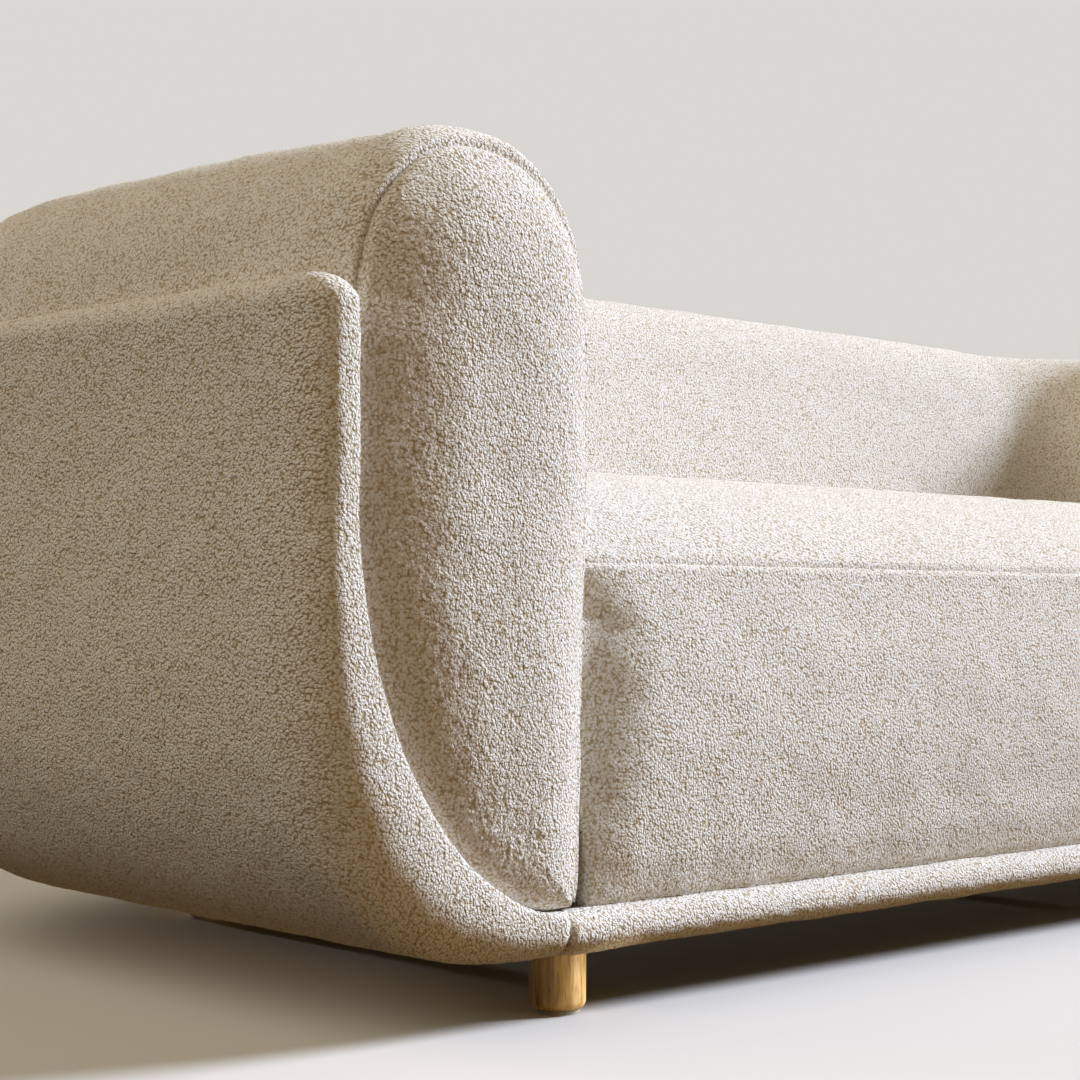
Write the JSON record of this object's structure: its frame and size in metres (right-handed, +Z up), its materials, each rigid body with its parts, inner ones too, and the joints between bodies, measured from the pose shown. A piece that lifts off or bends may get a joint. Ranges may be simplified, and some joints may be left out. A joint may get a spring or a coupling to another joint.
{
  "type": "three-seat sofa with wooden legs",
  "caption": "Low upholstered sofa with rounded arms and back rising inside a padded wraparound shell, a bench seat and short round wooden legs.",
  "frame": {"origin": "on the floor under the middle of the sofa's footprint", "axes": "+X along the sofa's length, +Y from the seat's front towards the back, +Z up"},
  "size_m": [2.2, 0.94, 0.71],
  "materials": {
    "beech": "matte",
    "black_cloth": "matte",
    "boucle": "matte",
    "felt": "matte",
    "foam": "matte",
    "oak": "satin",
    "plywood": "matte",
    "spring_steel": "satin",
    "webbing": "matte",
    "zinc_steel": "satin"
  },
  "bodies": {
    "root": {"arm_facing_left": "boucle", "arm_facing_right": "boucle", "arm_front_board_left": "plywood", "arm_front_board_right": "plywood", "arm_pad_left": "boucle", "arm_pad_right": "boucle", "arm_ribs_left": "plywood", "arm_ribs_right": "plywood", "arm_sills": "beech", "arm_top_rails": "beech", "back_pad": "boucle", "back_ribs": "plywood", "back_seat_rail": "beech", "back_sill": "beech", "back_top_rail": "beech", "back_webbing": "webbing", "corner_blocks": "beech", "corner_pad_left": "boucle", "corner_pad_right": "boucle", "corner_ribs": "plywood", "corner_sills": "beech", "corner_top_rails": "beech", "cross_rails": "beech", "dust_cover": "black_cloth", "felt_glides": "felt", "frame_screws": "zinc_steel", "front_band": "boucle", "front_rail": "beech", "hanger_bolts": "zinc_steel", "leg_back_left": "oak", "leg_back_right": "oak", "leg_centre": "oak", "leg_front_left": "oak", "leg_front_right": "oak", "plinth_back": "plywood", "plinth_corners": "plywood", "plinth_front": "plywood", "plinth_left": "plywood", "plinth_middle": "plywood", "plinth_right": "plywood", "seat_foam": "foam", "seat_front_panel": "boucle", "seat_springs": "spring_steel", "seat_top_pad": "boucle", "shell_pad_back": "boucle", "shell_pad_corner_left": "boucle", "shell_pad_corner_right": "boucle", "shell_pad_side_left": "boucle", "shell_pad_side_right": "boucle", "shell_ply_back": "plywood", "shell_ply_corner_left": "plywood", "shell_ply_corner_right": "plywood", "shell_ply_side_left": "plywood", "shell_ply_side_right": "plywood", "side_rail_left": "beech", "side_rail_right": "beech", "spring_clips": "zinc_steel", "spring_pad": "felt", "tee_nuts": "zinc_steel"}
  },
  "joints": []
}
